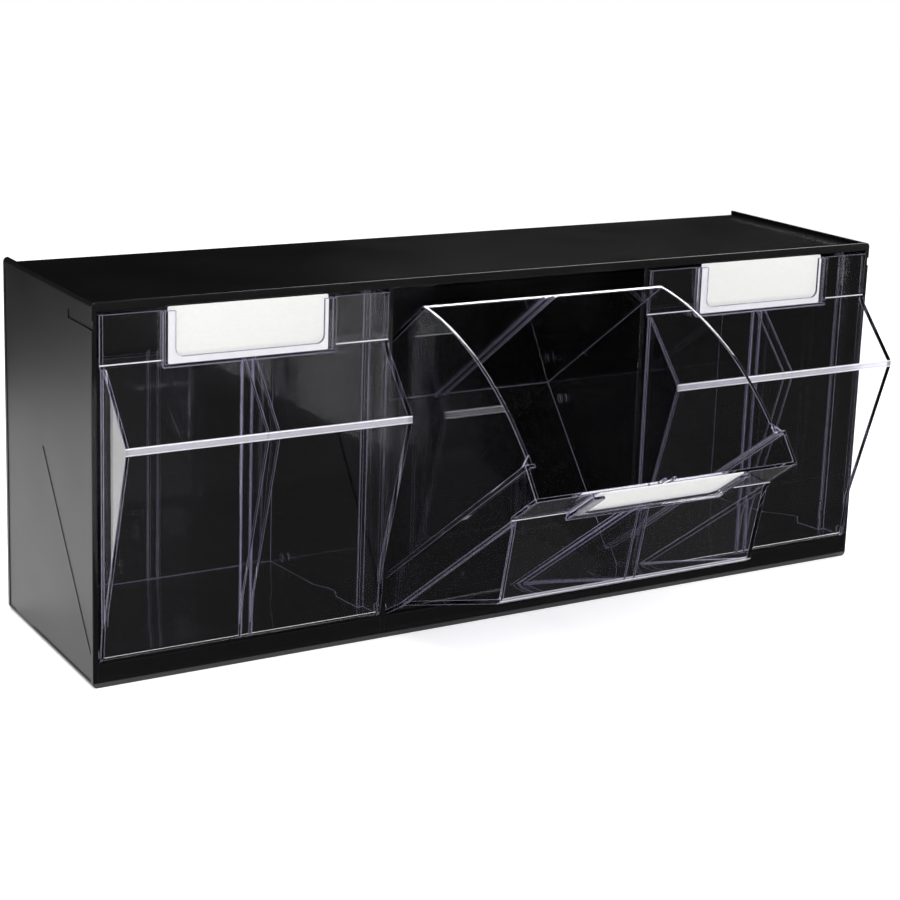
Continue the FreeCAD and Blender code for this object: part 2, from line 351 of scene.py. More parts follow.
def rounded(piece: Object, radius: float, steps: int, least_turn: float = 35.0,
            slot: int = -1) -> None:
    """Round a piece's edges, as the mould's own edges are.

    Args:
        piece: The piece to round.
        radius: Radius in millimetres.
        steps: Number of flat strips in a round.
        least_turn: Degrees of turn from which an edge is rounded.
        slot: Number of the material that the rounds get, or -1 for their neighbours' own.
    """
    modify(piece, "BEVEL", width=radius * MM, segments=steps, limit_method="ANGLE",
           angle_limit=math.radians(least_turn), use_clamp_overlap=False,
           miter_outer="MITER_ARC", material=slot)


def smoothed(piece: Object, sharpest: float = 40.0) -> None:
    """Shade rounds smooth and keep the flats flat."""
    pick(piece)
    bpy.ops.object.shade_smooth_by_angle(angle=math.radians(sharpest), keep_sharp_edges=False)
    modify(piece, "WEIGHTED_NORMAL", keep_sharp=True)


def turned(degrees: float, axis: str) -> Matrix:
    """A turn about the x, y or z axis."""
    return Matrix.Rotation(math.radians(degrees), 4, axis)


def settle(piece: Object, matrix: Matrix) -> None:
    """Move a finished piece's mesh, and leave its object at the origin, unturned."""
    pick(piece)
    piece.matrix_world = matrix
    bpy.ops.object.transform_apply(location=True, rotation=True, scale=True)


def duplicated(piece: Object, name: str) -> Object:
    """Copy a piece with a mesh of its own."""
    pick(piece)
    bpy.ops.object.duplicate(linked=False)
    copy = bpy.context.object
    copy.name = name
    copy.data.name = name
    return copy


def dress(piece: Object, *materials: Material) -> None:
    """Give a piece its materials, in the order of its slots."""
    piece.data.materials.clear()
    for material in materials:
        piece.data.materials.append(material)


# Finishes


def linear(colour: str) -> tuple[float, float, float, float]:
    """Turn an sRGB hex colour into linear red, green, blue and alpha."""
    shares = [share / BYTE for share in bytes.fromhex(colour.removeprefix("#"))]
    return (*Color(shares).from_srgb_to_scene_linear(), 1.0)


def add_node(tree: Tree, kind: str, given: dict | None = None, output: str | int = 0) -> Socket:
    """Add a node with its settings and links.

    Args:
        tree: The node tree.
        kind: The node's type, without its prefix.
        given: Settings by their name, and values or links by the name or number of an input.
        output: Name or number of the output that is wanted.

    Returns:
        That output of the new node.
    """
    node = tree.nodes.new(f"ShaderNode{kind}")
    for name, value in (given or {}).items():
        if isinstance(value, Socket):
            tree.links.new(value, node.inputs[name])
        elif isinstance(name, str) and hasattr(node, name):
            setattr(node, name, value)
        else:
            node.inputs[name].default_value = value
    return node.outputs[output]


def end_tree(tree: Tree, kind: str, shader: Socket) -> None:
    """Send a shader to the output of a material's or a world's tree."""
    tree.links.new(shader, tree.nodes.new(f"ShaderNodeOutput{kind}").inputs["Surface"])


def new_tree(name: str) -> tuple[Material, Tree]:
    """Start a material, with an empty tree."""
    material = bpy.data.materials.new(name)
    material.use_nodes = True
    material.node_tree.nodes.clear()
    return material, material.node_tree


def surfaced(material: Material, shader: Socket) -> Material:
    """Give a material its finished shader."""
    end_tree(material.node_tree, "Material", shader)
    return material


def place_on_piece(tree: Tree) -> Socket:
    """Where a point lies on its piece."""
    return add_node(tree, "TexCoord", output="Object")


def ray_says(tree: Tree, what: str) -> Socket:
    """What the light path knows of the ray that meets a surface."""
    return add_node(tree, "LightPath", output=what)


def noise(tree: Tree, grain: float, detail: float, place: Socket | None = None) -> Socket:
    """A cloudy pattern, with a grain in millimetres."""
    place = place_on_piece(tree) if place is None else place
    return add_node(tree, "TexNoise", {"Scale": 1 / (grain * MM), "Detail": detail,
                                       "Vector": place})


def ranged(tree: Tree, value: Socket, start: Spot, end: Spot) -> Socket:
    """Turn a value that runs between two limits into one that runs between two others."""
    return add_node(tree, "MapRange", {"Value": value, "From Min": start[0], "From Max": start[1],
                                       "To Min": end[0], "To Max": end[1]})


def raised(tree: Tree, pattern: Socket, height: float) -> Socket:
    """The normals of a face that a pattern raises, by a height in millimetres."""
    return add_node(tree, "Bump", {"Strength": 1.0, "Distance": height * MM, "Height": pattern})


def two_tone(tree: Tree, share: Socket, dark: str, light: str) -> Socket:
    """A colour between two sRGB hex colours."""
    colours = {FIRST_COLOUR: linear(dark), SECOND_COLOUR: linear(light)}
    return add_node(tree, "Mix", {"data_type": "RGBA", 0: share, **colours}, MIXED_COLOUR)


def between(tree: Tree, share: Socket, first: Socket, second: Socket) -> Socket:
    """Mix two shaders, from the first at a share of 0 to the second at 1."""
    return add_node(tree, "MixShader", {0: share, 1: first, 2: second})


def glow(tree: Tree, level: float | Socket, kind: str = "Emission") -> Socket:
    """White light of a surface's own or of the background, where a level of 1 is full white."""
    return add_node(tree, kind, {"Color": linear("#ffffff"), "Strength": level})


@dataclass(frozen=True)
class BlackStyrene:
    """High-impact polystyrene, injection moulded and black all through.

    A polished mould gives a dark gloss that mirrors softly, with a faint orange peel. An etched
    mould gives a satin face with a fine grain that catches the light and swallows some gloss.
    """

    name: str = "black_styrene_gloss"
    dark: str = "#0a0a0b"
    light: str = "#101011"
    roughness_low: float = 0.10
    roughness_high: float = 0.16
    ior: float = 1.57
    grain: float = 1.4
    grain_height: float = 0.004
    grain_detail: float = 2.0
    cloud: float = 60.0
    cloud_detail: float = 3.0

    def make(self) -> Material:
        """Build the material."""
        material, tree = new_tree(self.name)
        cloud = noise(tree, self.cloud, self.cloud_detail)
        grain = noise(tree, self.grain, self.grain_detail)
        gloss = ranged(tree, cloud, (0.0, 1.0), (self.roughness_low, self.roughness_high))
        return surfaced(material, add_node(tree, "BsdfPrincipled", {
            "Base Color": two_tone(tree, cloud, self.dark, self.light), "Roughness": gloss,
            "IOR": self.ior, "Normal": raised(tree, grain, self.grain_height)}))


@dataclass(frozen=True)
class ClearStyrene:
    """Crystal polystyrene, injection moulded in a polished mould.

    Its faces are water-clear and wave very slightly. Copies of it with a share of pale diffuse
    colour paint light onto a bin. A cool violet on the edge rounds is a painted glow for light
    that the sheet carries to its edges. Near-white on the nose and crease rounds is a painted
    highlight. A pale share on the nose's flat band is painted light for the white surround seen
    through the thick nose.
    """

    name: str = "clear_styrene"
    tint: str = "#fcfcff"
    scatter: float = 0.0
    roughness: float = 0.015
    ior: float = 1.59
    wave: float = 45.0
    wave_height: float = 0.012
    wave_detail: float = 1.0
    shadow: str = "#f6f6f8"

    def make(self) -> Material:
        """Build the material."""
        material, tree = new_tree(self.name)
        wave = noise(tree, self.wave, self.wave_detail)
        body = add_node(tree, "BsdfPrincipled", {
            "Base Color": linear(self.tint), "IOR": self.ior, "Roughness": self.roughness,
            "Transmission Weight": 1.0 - self.scatter,
            "Normal": raised(tree, wave, self.wave_height)})
        # Clear plastic lets nearly all of a lamp's light through
        through = add_node(tree, "BsdfTransparent", {"Color": linear(self.shadow)})
        return surfaced(material, between(tree, ray_says(tree, "Is Shadow Ray"), body, through))


@dataclass(frozen=True)
class WhiteCard:
    """Uncoated white card, cut from a sheet: matt, with a short, faint fibre."""

    name: str = "white_card"
    bright: str = "#f6f6f4"
    shade: str = "#ececea"
    roughness: float = 0.85
    fibre: float = 1.2
    fibre_height: float = 0.02
    fibre_detail: float = 4.0
    fibre_stretch: float = 0.35

    def make(self) -> Material:
        """Build the material."""
        material, tree = new_tree(self.name)
        along = add_node(tree, "Mapping", {"Scale": (self.fibre_stretch, 1.0, 1.0),
                                           "Vector": place_on_piece(tree)})
        fibre = noise(tree, self.fibre, self.fibre_detail, along)
        return surfaced(material, add_node(tree, "BsdfPrincipled", {
            "Base Color": two_tone(tree, fibre, self.shade, self.bright),
            "Roughness": self.roughness, "Normal": raised(tree, fibre, self.fibre_height)}))


# Sub-assemblies


def box_mm(node: str) -> tuple[Vector, Vector]:
    """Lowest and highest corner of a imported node, in millimetres."""
    low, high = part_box(node)
    return Vector(low) / MM, Vector(high) / MM


def drawing_origin() -> Vector:
    """Place of the drawing's origin in the model's frame, in millimetres."""
    return box_mm("left_end_panel")[0]


@dataclass
class TravelSector:
    """Sector about a bin's pivot that its stop peg sweeps, seen from the side."""

    pivot: Spot
    peg_path_radius: float = 131.0
    peg_radius: float = 3.0
    edge_gap: float = 3.0
    start_angle: float = -9.0
    closed_angle: float = -2.1
    open_angle: float = 54.0
    stop_gap: float = 0.3

    def spot(self, radius: float, angle: float) -> Spot:
        """Place at a radius from the pivot, at an angle above the horizontal to the back."""
        turn = math.radians(angle)
        return (self.pivot[0] + radius * math.cos(turn), self.pivot[1] + radius * math.sin(turn))

    def wedge(self, name: str, margin: float, floor: float, span: Spot) -> Object:
        """Build the sector as a solid.

        Args:
            name: Name of the new object.
            margin: How much wider the sector is than the peg's track.
            floor: Height below which the sector is cut off.
            span: The two values of x.

        Returns:
            A closed solid.
        """
        radius = self.peg_path_radius + self.peg_radius + self.edge_gap + margin
        spare = math.degrees(math.asin((self.peg_radius + self.stop_gap) / self.peg_path_radius))
        end = self.closed_angle + self.open_angle + spare
        low = self.spot(radius, self.start_angle)
        high = Bend(self.pivot, self.spot(radius, end))
        piece = profile(name, [self.pivot, low, high], span)
        slice_off(piece, (0, 0, floor), (0, 0, -1))
        return piece


@dataclass
class HousingShell:
    """The moulded housing: top, bottom, back, ends and dividers, open at the front."""

    finish: BlackStyrene = BlackStyrene()
    end_finish: BlackStyrene = BlackStyrene(name="black_styrene_satin", dark="#101012",
                                            light="#161618", roughness_low=0.36,
                                            roughness_high=0.44, ior=1.49, grain=0.9,
                                            grain_height=0.006)
    top_sink: float = 3.4
    top_lip_wall: float = 3.0
    bottom_wall: float = 3.0
    bottom_height: float = 5.5
    skirt_wall: float = 3.0
    middle_rib_wall: float = 6.0
    sill_setback: float = 1.5
    sill_depth: float = 6.5
    panel_sink: float = 0.5
    border_width: float = 3.5
    top_band_height: float = 7.0
    outer_round: float = 3.0
    outer_steps: int = 6
    groove_drop: float = 11.1
    groove_height: float = 5.6
    groove_length: float = 40.0
    groove_sink: float = 1.3
    sector_rise: float = 0.35
    sector_margin: float = 1.5
    track_sink: float = 0.5
    socket_depth: float = 1.3
    socket_radius: float = 3.07
    screw_hole_radius: float = 2.5
    screw_hole_sides: int = 32
    screw_top_distance: float = 30.0
    edge_round: float = 0.5
    edge_steps: int = 3
    nodes: tuple[str, ...] = ("housing_top_panel", "housing_bottom_panel", "housing_back_panel",
                              "left_end_panel", "right_end_panel", "left_divider",
                              "right_divider")

    def __post_init__(self) -> None:
        """Take the outer sizes and the walls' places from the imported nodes."""
        origin = drawing_origin()
        self.width, self.depth, self.height = box_mm("right_end_panel")[1] - origin
        walls = [[corner.x - origin.x for corner in box_mm(node)]
                 for node in ("left_end_panel", "left_divider", "right_divider",
                              "right_end_panel")]
        self.cells = [(before[1], after[0]) for before, after in zip(walls, walls[1:])]
        self.back_face = box_mm("housing_back_panel")[0].y - origin.y
        self.ceiling = box_mm("housing_top_panel")[0].z
        self.sill_top = box_mm("housing_bottom_panel")[1].z
        joint = Vector(frame["joints"][0]["pos_m"]) / MM - origin
        self.pivot = (joint.y, joint.z)

    def walls(self) -> Object:
        """Cut the compartments, the sunk top and the underside out of one block."""
        shell = block("housing", (0, 0, 0), (self.width, self.depth, self.height))
        self.round_outer_edges(shell)
        hollows = [block("compartment", (left, -OVERRUN, self.bottom_height),
                         (right, self.back_face, self.ceiling)) for left, right in self.cells]
        left, right = self.cells[0][0], self.cells[-1][1]
        hollows.append(block("sunk_top", (left, self.top_lip_wall, self.height - self.top_sink),
                             (right, self.depth + OVERRUN, self.height + OVERRUN)))
        rib_left = (self.width - self.middle_rib_wall) / 2
        for start, end in ((left + self.skirt_wall, rib_left),
                           (rib_left + self.middle_rib_wall, right - self.skirt_wall)):
            hollows.append(block("underside", (start, self.skirt_wall, -OVERRUN),
                                 (end, self.depth - self.skirt_wall,
                                  self.bottom_height - self.bottom_wall)))
        combine(shell, joined("hollows", hollows), Join.CUT)
        sills = [block("sill", (left - ROOT, self.sill_setback, self.bottom_height - ROOT),
                       (right + ROOT, self.sill_setback + self.sill_depth, self.sill_top))
                 for left, right in self.cells]
        combine(shell, joined("sills", sills), Join.ADD)
        cleaned(shell)
        return shell

    def round_outer_edges(self, shell: Object) -> None:
        """Round the long top and bottom edges of both ends."""

        def long_outer_edge(start: Vector, end: Vector) -> bool:
            """Whether an edge runs front to back along an outer corner."""
            return abs(start.y - end.y) > self.depth / 2

        round_edges(shell, self.outer_round, self.outer_steps, long_outer_edge)

    def wall_reliefs(self) -> list[Object]:
        """The pegs' tracks and the trunnions' sockets, sunk in each compartment's walls."""
        floor = self.bottom_height + 2 * self.edge_round
        tracks, sockets = [], []
        for cell in self.cells:
            for wall, side in zip(cell, (-1, 1)):
                track, socket = (sorted((wall - side * ROOT, wall + side * sink))
                                 for sink in (self.track_sink, self.socket_depth))
                tracks.append(TravelSector(self.pivot).wedge("track", 0, floor, track))
                sockets.append(round_bar("socket", socket, self.pivot, self.socket_radius))
        return tracks + sockets

    def screw_holes(self) -> list[Object]:
        """Wall fixings through the back, one high up in each outer compartment."""
        span = (self.depth - OVERRUN, self.depth + OVERRUN)
        height = self.height - self.screw_top_distance
        return [round_bar("screw_hole", span, ((left + right) / 2, height),
                          self.screw_hole_radius, Axis.BACK, self.screw_hole_sides)
                for left, right in (self.cells[0], self.cells[-1])]

    def end_relief(self) -> Object:
        """What is sunk in the left end: its face, round a raised sector."""
        low = (-OVERRUN, self.border_width, self.border_width)
        high = (self.panel_sink, self.depth - self.border_width,
                self.height - self.top_band_height)
        sunk = block("sunk_face", low, high)
        sector = TravelSector(self.pivot).wedge(
            "raised_sector", self.sector_margin, self.border_width - OVERRUN,
            (self.panel_sink - self.sector_rise, self.panel_sink + OVERRUN))
        combine(sunk, sector, Join.CUT)
        return sunk

    def end_groove(self) -> Object:
        """The groove in the left end, open at the front, that keys a neighbour unit."""
        top = self.height - self.groove_drop
        return block("groove", (-OVERRUN, -OVERRUN, top - self.groove_height),
                     (self.groove_sink, self.groove_length, top))

    def mirrored(self, tool: Object) -> list[Object]:
        """A tool for the left end and its mirror image for the right end."""
        other = duplicated(tool, tool.name)
        settle(other, Matrix.Translation((self.width * MM, 0, 0)) @ Matrix.Diagonal((-1, 1, 1, 1)))
        with editing(other):
            bpy.ops.mesh.normals_make_consistent(inside=False)
        return [tool, other]

    def assign_ends(self, shell: Object) -> None:
        """Put the satin finish on the outer faces of the two ends."""

        def outer_end(middle: Vector, normal: Vector) -> bool:
            """Whether a face belongs to the outside of an end."""
            from_end = min(middle.x, self.width - middle.x)
            return from_end < self.outer_round and abs(normal.x) > LEANING

        with editing(shell, "FACE", "DESELECT"):
            select_faces(shell, outer_end)
            # The satin finish is in the last slot
            shell.active_material_index = len(shell.data.materials) - 1
            bpy.ops.object.material_slot_assign()

    def build(self) -> Object:
        """Build, dress and place the housing.

        Returns:
            The finished piece.
        """
        shell = self.walls()
        rounded(shell, self.edge_round, self.edge_steps)
        for tool in (*self.wall_reliefs(), *self.screw_holes(),
                     *self.mirrored(self.end_relief()), *self.mirrored(self.end_groove())):
            combine(shell, tool, Join.CUT)
        smoothed(shell)
        dress(shell, self.finish.make(), self.end_finish.make())
        self.assign_ends(shell)
        settle(shell, Matrix.Translation(drawing_origin() * MM))
        shell.name = "housing_shell"
        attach(shell, "housing")
        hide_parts(*self.nodes)
        return shell


@dataclass
class TiltBin:
    """One clear bin, drawn closed, with its left side at x = 0.

    A reach is how far a corner stands in front of the housing, and a drop is measured down from
    the corner above.
    """

    pivot: Spot
    width: float
    top: float
    back: float
    finish: ClearStyrene = ClearStyrene()
    # Painted glow: a pale violet diffuse share on every round stands in for light that the sheet
    # carries to its edges
    edge_finish: ClearStyrene = ClearStyrene(name="clear_styrene_edge_painted_glow", tint="#d6d0f0",
                                             scatter=0.22, roughness=0.2)
    # Painted highlight: a near-white diffuse share on the nose and crease rounds stands in for
    # their bright highlight lines
    painted_highlight_finish: ClearStyrene = ClearStyrene(name="clear_styrene_painted_highlight_edge",
                                               tint="#f6f4fc", scatter=0.8, roughness=0.3)
    # Painted light: a pale diffuse share on the nose's flat band stands in for the white surround
    # seen through the thick nose
    painted_band_finish: ClearStyrene = ClearStyrene(name="clear_styrene_nose_band_painted_light", tint="#f2f0fa",
                                             scatter=0.36, roughness=0.25)
    wall: float = 2.4
    foot_radius: float = 5.3
    panel_reach: float = 1.5
    crease_drop: float = 30.5
    nose_reach: float = 38.5
    nose_drop: float = 41.5
    nose_edge_height: float = 4.0
    knee_reach: float = 4.5
    knee_rise: float = 26.5
    rear_height: float = 5.8
    band_depth: float = 22.0
    side_inset: float = 4.5
    cheek_inset: float = 1.5
    cheek_line_reach: float = 3.5
    rim_drop: float = 1.5
    rim_thickness: float = 2.2
    rim_rear_width: float = 1.4
    guide_gap: float = 5.4
    guide_wall: float = 1.8
    guide_height: float = 1.6
    guide_depth: float = 2.2
    guide_web_wall: float = 0.8
    trunnion_radius: float = 3.0
    trunnion_reach: float = 2.0
    peg_reach: float = 5.8
    window_width: float = 116.0
    window_reach: float = 3.5
    window_wall: float = 1.6
    slot_drop: float = 2.7
    frame_wall: float = 2.0
    frame_border: float = 8.5
    frame_foot_rise: float = 2.3
    frame_round: float = 5.0
    frame_steps: int = 8
    edge_round: float = 0.4
    edge_steps: int = 2
    least_turn: float = 15.0

    def __post_init__(self) -> None:
        """Work out the corners of the front, and the places that several shapes share."""
        crease = self.top - self.crease_drop
        nose = crease - self.nose_drop
        self.crease = (-self.panel_reach, crease)
        self.nose_top = (-self.nose_reach, nose)
        self.nose_bottom = (-self.nose_reach, nose - self.nose_edge_height)
        self.knee = (-self.knee_reach, self.pivot[1] + self.knee_rise)
        self.rear_floor = (self.back, self.rear_height)
        self.rim_radius = self.top - self.rim_drop - self.pivot[1]
        self.travel = TravelSector(self.pivot)
        self.above = self.top + OVERRUN
        self.window_left = (self.width - self.window_width) / 2
        self.window_front = -self.panel_reach - self.window_reach

    def tangent_angle(self, place: Spot, side: int) -> float:
        """Angle at the pivot of the line from a place that just touches the foot's round."""
        depth, height = place[0] - self.pivot[0], place[1] - self.pivot[1]
        spread = math.acos(self.foot_radius / math.hypot(depth, height))
        return math.degrees(math.atan2(height, depth) + side * spread)

    def moved_corner(self, before: Spot, corner: Spot, after: Spot, inset: float) -> Spot:
        """The corner, with both its edges moved inwards by the inset."""
        normals = [Vector((start[1] - end[1], end[0] - start[0])).normalized()
                   for start, end in ((before, corner), (corner, after))]
        shift = (normals[0] + normals[1]) * inset / (1 + normals[0].dot(normals[1]))
        return (corner[0] + shift.x, corner[1] + shift.y)

    def on_floor(self, depth: float, lift: float) -> Spot:
        """Spot of the sloping floor at a depth, lifted square to the floor."""
        slope = math.radians(self.tangent_angle(self.rear_floor, -1) + 90)
        run = self.rear_floor[0] - depth
        return (depth, self.rear_floor[1] - run * math.tan(slope) + lift / math.cos(slope))

    def on_arc(self, depth: float, radius: float) -> Spot:
        """Spot of an arc about the pivot, at a depth."""
        rise = math.sqrt(radius ** 2 - (depth - self.pivot[0]) ** 2)
        return (depth, self.pivot[1] + rise)

    def front_path(self, inset: float, top: float, rear: float) -> list[Spot | Bend]:
        """Outline from a top down the front, round the foot and back along the floor.

        Args:
            inset: How far the outline lies inside the bin's outer face.
            top: Height of the outline's top.
            rear: Depth at which the outline ends.

        Returns:
            Corners and bends of the outline.
        """
        angles = [self.tangent_angle(self.knee, 1), self.tangent_angle(self.rear_floor, -1)]
        outer = [(-self.panel_reach, self.top), self.crease, self.nose_top, self.nose_bottom,
                 self.knee, self.travel.spot(self.foot_radius, angles[0])]
        path: list[Spot | Bend] = [(inset - self.panel_reach, top)]
        for before, corner, after in zip(outer, outer[1:], outer[2:]):
            path.append(self.moved_corner(before, corner, after, inset))
        radius = self.foot_radius - inset
        if radius > 0:
            path.append(self.travel.spot(radius, angles[0]))
            path.append(Bend(self.pivot, self.travel.spot(radius, angles[1])))
        else:
            path.append(self.moved_corner(self.knee, outer[-1], self.rear_floor, 0))
        path.append(self.on_floor(rear, inset))
        return path

    def body(self, name: str, inset: float, top: float, rear_top: list[Spot | Bend]) -> Object:
        """Build a solid with the bin's form, each face moved inwards by the inset.

        Args:
            name: Name of the new object.
            inset: How far its faces lie inside the bin's outer faces.
            top: Height of its front part's top.
            rear_top: The outline from the back of the floor to the top of the band.

        Returns:
            A closed solid.
        """
        side = self.side_inset + inset
        path = self.front_path(inset, top, self.back - inset) + rear_top
        piece = profile(name, path, (side, self.width - side))
        front, rear = inset - self.cheek_line_reach, self.band_depth - inset
        for depth in (front, rear):
            slice_off(piece, (0, depth, 0), (0, 1, 0), keep_all=True)
        steps = ((self.side_inset - self.cheek_inset, lambda depth: depth < rear),
                 (self.cheek_inset, lambda depth: front < depth < rear))
        for width, lies_there in steps:
            for direction in (-1, 1):
                self.widen(piece, width * direction, lies_there)
        return piece

    def widen(self, piece: Object, width: float, lies_there: Callable[[float], bool]) -> None:
        """Pull a part of one side out along x.

        Args:
            piece: The solid to change.
            width: How far, with its sign for the side.
            lies_there: Whether a face at a depth is pulled.
        """
        outermost = max(point.co.x * width for point in piece.data.vertices) / abs(width) / MM

        def chosen(middle: Vector, normal: Vector) -> bool:
            """Whether a face is the part of the side to pull."""
            facing = normal.x * width > FACING * abs(width)
            on_side = abs(middle.x * width / abs(width) - outermost) < 2 * SAME_POINT
            return facing and on_side and lies_there(middle.y)

        with editing(piece, "FACE", "DESELECT"):
            select_faces(piece, chosen)
            bpy.ops.mesh.extrude_region_move(TRANSFORM_OT_translate={"value": (width * MM, 0, 0)})

    def outside(self) -> Object:
        """The bin as a full solid, with its top still too high."""
        hidden = self.rim_radius - self.rim_thickness / 2
        band = self.on_arc(self.band_depth, hidden)
        rear_top = [self.on_arc(self.back, hidden), Bend(self.pivot, band),
                    (self.band_depth, self.above)]
        return self.body("bin", 0, self.above, rear_top)

    def room(self) -> Object:
        """The hollow of the bin, open at the top."""
        above = self.above + OVERRUN
        return self.body("room", self.wall, above, [(self.back - self.wall, above)])

    def rim(self) -> Object:
        """The lip along the round top edges, wide at the band and narrow at the back."""
        low, high = self.rim_radius - self.rim_thickness, self.rim_radius
        start, end = self.band_depth - ROOT, self.back
        ring = profile("rim", [self.on_arc(end, low), self.on_arc(end, high),
                               Bend(self.pivot, self.on_arc(start, high)),
                               self.on_arc(start, low),
                               Bend(self.pivot, self.on_arc(end, low))], (0, self.width))
        taper = self.side_inset - self.rim_rear_width
        run = self.back - self.band_depth
        for x, side in ((0, -1), (self.width, 1)):
            corner = (x, self.band_depth, 0)
            slice_off(ring, corner, (side * run, taper, 0))
            slice_off(ring, corner, (side, -1, 0))
        return ring

    def window(self) -> Object:
        """The raised label window, flush at its foot with the sloping panel, still too high."""
        slope = (self.crease[1] - self.nose_top[1]) / (self.nose_reach - self.panel_reach)
        foot = (self.window_front, self.crease[1] - self.window_reach * slope)
        inner_foot = (-self.panel_reach - ROOT, self.crease[1] - ROOT * slope - ROOT)
        rear = ROOT / 2 - self.panel_reach
        return profile("window", [(self.window_front, self.above), foot, inner_foot,
                                  (rear, self.crease[1] - ROOT), (rear, self.above)],
                       (self.window_left, self.width - self.window_left))

    def slot(self) -> Object:
        """The slot behind the window for the card, open at the top."""
        left = self.window_left + self.window_wall
        return block("slot",
                     (left, self.window_front + self.frame_wall, self.crease[1] - self.slot_drop),
                     (self.width - left, -self.panel_reach, self.above + OVERRUN))

    def frame_opening(self) -> Object:
        """The opening in the window's front that leaves a frame round the card."""
        left = self.window_left + self.frame_border
        foot = self.crease[1] + self.frame_foot_rise
        opening = block("frame_opening", (left, self.window_front - OVERRUN, foot),
                        (self.width - left, -self.panel_reach - ROOT / 2, self.above + OVERRUN))

        def lower_corner(start: Vector, end: Vector) -> bool:
            """Whether an edge runs front to back at a lower corner."""
            return abs(start.y - end.y) > OVERRUN / 2 and max(start.z, end.z) < foot + OVERRUN

        round_edges(opening, self.frame_round, self.frame_steps, lower_corner)
        return opening

    def guides(self) -> list[Object]:
        """Two pairs of guides for a divider sheet: bars, webbed to the front, and at the back."""
        inset = self.wall + self.guide_height
        inner = inset - self.panel_reach
        front, rear = self.back - inset, self.back - ROOT
        top = self.rim_radius - self.rim_thickness / 4
        back_bar = [self.on_arc(front, top), self.on_floor(front, ROOT),
                    self.on_floor(rear, ROOT), self.on_arc(rear, top)]
        nose = [*self.front_path(ROOT, self.above, self.band_depth),
                (self.band_depth, self.above)]
        guides = []
        for side in (-1, 1):
            middle = self.width / 2 + side * (self.guide_gap + self.guide_wall) / 2
            bar_span, web_span = ((middle - wall / 2, middle + wall / 2)
                                  for wall in (self.guide_wall, self.guide_web_wall))
            bar, web = profile("bar", nose, bar_span), profile("web", nose, web_span)
            slice_off(bar, (0, inner - self.guide_depth, 0), (0, -1, 0))
            slice_off(bar, (0, inner, 0), (0, 1, 0))
            slice_off(web, (0, inner - self.guide_depth / 2, 0), (0, 1, 0))
            guides += [bar, web, profile("back_bar", back_bar, bar_span)]
        return guides

    def studs(self) -> list[Object]:
        """Trunnions at the foot and stop pegs near the back, on both sides."""
        travel = self.travel
        peg = travel.spot(travel.peg_path_radius, travel.closed_angle)
        studs = []
        for low, high, spot, radius in (
                (-self.trunnion_reach, ROOT, self.pivot, self.trunnion_radius),
                (self.side_inset - self.peg_reach, self.side_inset + ROOT, peg, travel.peg_radius)):
            for span in ((low, high), (self.width - high, self.width - low)):
                studs.append(round_bar("stud", span, spot, radius))
        return studs

    def build(self) -> Object:
        """Build one closed bin in the drawing's place.

        Returns:
            The finished mesh, with its left side at x = 0.
        """
        shell = self.outside()
        for tool in (self.rim(), self.window()):
            combine(shell, tool, Join.ADD)
        combine(shell, self.room(), Join.CUT)
        for tool in (*self.guides(), *self.studs()):
            combine(shell, tool, Join.ADD)
        lid = block("lid", (-OVERRUN, -OVERRUN - self.nose_reach, self.top),
                    (self.width + OVERRUN, self.back, self.top + 4 * OVERRUN))
        for tool in (self.slot(), self.frame_opening(), lid):
            combine(shell, tool, Join.CUT)
        cleaned(shell)
        dress(shell, *(finish.make() for finish in (self.finish, self.edge_finish,
                                                    self.painted_highlight_finish, self.painted_band_finish)))
        rounded(shell, self.edge_round, self.edge_steps, self.least_turn, Slot.EDGE)
        # The nose and crease rounds get a painted highlight, and the nose's flat band gets painted
        # light
        self.paint_highlight_edges(shell)
        cleaned(shell, NEARLY_FLAT)
        smoothed(shell)
        return shell

    def on_nose_band(self, spot: Vector) -> bool:
        """Whether a place lies on the outer or the inner face of the nose's flat band."""
        level = self.nose_bottom[1] < spot.z < self.nose_top[1]
        return level and any(abs(spot.y + reach) < self.edge_round / 2
                             for reach in (self.nose_reach, self.nose_reach - self.wall))

    def paint_highlight_edges(self, shell: Object) -> None:
        """Paint highlights on the long rounds of the nose and the crease, and painted light on the
        band between the nose's.
        """
        reach = 2 * self.edge_round
        places = (self.nose_top, self.nose_bottom, self.crease)
        for polygon in shell.data.polygons:
            middle = polygon.center / MM
            near = any(math.hypot(middle.y - spot[0], middle.z - spot[1]) < reach
                       for spot in places)
            if polygon.material_index == Slot.EDGE and near:
                polygon.material_index = Slot.RUBBED
            elif self.on_nose_band(middle):
                polygon.material_index = Slot.BAND


@dataclass
class LabelCard:
    """A bare card that stands in a bin's label slot, bowed a little towards its middle."""

    low: Vector
    high: Vector
    finish: WhiteCard = WhiteCard()
    corner_round: float = 1.0
    corner_steps: int = 4
    bow: float = 0.08
    strips: int = 24
    edge_round: float = 0.12
    edge_steps: int = 2
    least_turn: float = 60.0

    def build(self) -> Object:
        """Build one upright card in the drawing's place.

        Returns:
            The finished mesh.
        """
        card = block("card", tuple(self.low), tuple(self.high))

        def upright_corner(start: Vector, end: Vector) -> bool:
            """Whether an edge runs through the card's thickness."""
            return abs(start.y - end.y) > (self.high.y - self.low.y) / 2

        round_edges(card, self.corner_round, self.corner_steps, upright_corner)
        length = self.high.x - self.low.x
        for number in range(1, self.strips):
            slice_off(card, (self.low.x + length * number / self.strips, 0, 0), (1, 0, 0),
                      keep_all=True)
        self.bend(card)
        rounded(card, self.edge_round, self.edge_steps, self.least_turn)
        smoothed(card)
        dress(card, self.finish.make())
        return card

    def bend(self, card: Object) -> None:
        """Bow the card forwards, most at its middle."""
        middle = (self.low.x + self.high.x) / 2
        half = (self.high.x - self.low.x) / 2
        for point in card.data.vertices:
            share = 1 - ((point.co.x / MM - middle) / half) ** 2
            point.co.y -= self.bow * share * MM


